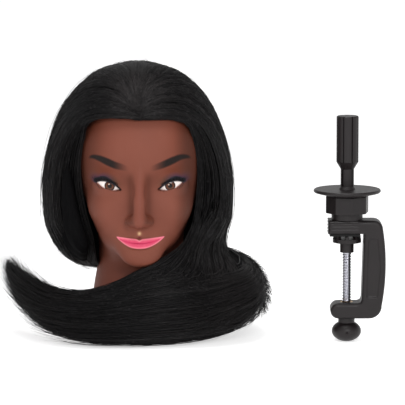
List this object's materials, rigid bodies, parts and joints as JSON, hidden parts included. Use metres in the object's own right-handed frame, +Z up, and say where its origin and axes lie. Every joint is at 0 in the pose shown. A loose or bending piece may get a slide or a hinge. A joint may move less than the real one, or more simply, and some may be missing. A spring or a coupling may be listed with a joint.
{
  "type": "mannequin training head",
  "caption": "Hollow vinyl practice head with long straight hair and a neck socket, with the table clamp whose swivelling post carries it.",
  "frame": {"origin": "centre of the neck socket's mouth, in the plane that the neck stands on", "axes": "+Z up along the socket, the face looks along -Y, +X towards the clamp"},
  "size_m": [0.4184, 0.2334, 0.302],
  "materials": {
    "vinyl_skin": "satin, soft moulded vinyl",
    "hair": "glossy straight fibre",
    "lash": "fine fibre",
    "rigid_plug": "moulded",
    "clamp_plastic": "fine moulded texture",
    "black_rubber": "matt",
    "brass": "turned",
    "chrome": "polished plating",
    "zinc_steel": "zinc plated"
  },
  "bodies": {
    "head": {"head_skin": "vinyl_skin", "neck_plug": "rigid_plug", "socket_tube": "rigid_plug", "socket_cap": "rigid_plug", "eyelash_left": "lash", "eyelash_right": "lash", "hair_crown": "hair", "hair_left": "hair", "hair_right": "hair", "hair_back": "hair", "hair_nape_sweep": "hair", "hair_front_sweep": "hair"},
    "pad": {"pressure_pad": "clamp_plastic", "pad_boss": "clamp_plastic"},
    "screw": {"clamp_screw": "chrome", "knob": "clamp_plastic", "knob_pin": "zinc_steel", "pad_clip": "zinc_steel"},
    "clamp": {"clamp_frame": "clamp_plastic", "jaw_pad": "black_rubber", "thread_insert": "brass", "lock_ring": "clamp_plastic", "bolt_washer": "zinc_steel"},
    "post": {"swivel_hub": "clamp_plastic", "base_disc": "clamp_plastic", "head_post": "clamp_plastic", "post_bolt": "zinc_steel"}
  },
  "joints": [
    {"name": "clamp_lift", "type": "slide", "parent": "head", "child": "pad", "axis": [0, 0, 1], "range_m": [0, 0.3]},
    {"name": "screw_spin", "type": "hinge", "parent": "pad", "child": "screw", "pos_m": [0.225, -0.04, 0.05], "axis": [0, 0, 1], "range_deg": [-6000, 0]},
    {"name": "screw_travel", "type": "slide", "parent": "pad", "child": "clamp", "axis": [0, 0, 1], "range_m": [0, 0.05]},
    {"name": "post_swivel", "type": "hinge", "parent": "clamp", "child": "post", "pos_m": [0.225, -0.04, 0.14], "axis": [0, 0, 1], "continuous": true}
  ],
  "couplings": [
    {"joint": "screw_spin", "follows": "screw_travel", "rad_per_m": -2094.4}
  ]
}
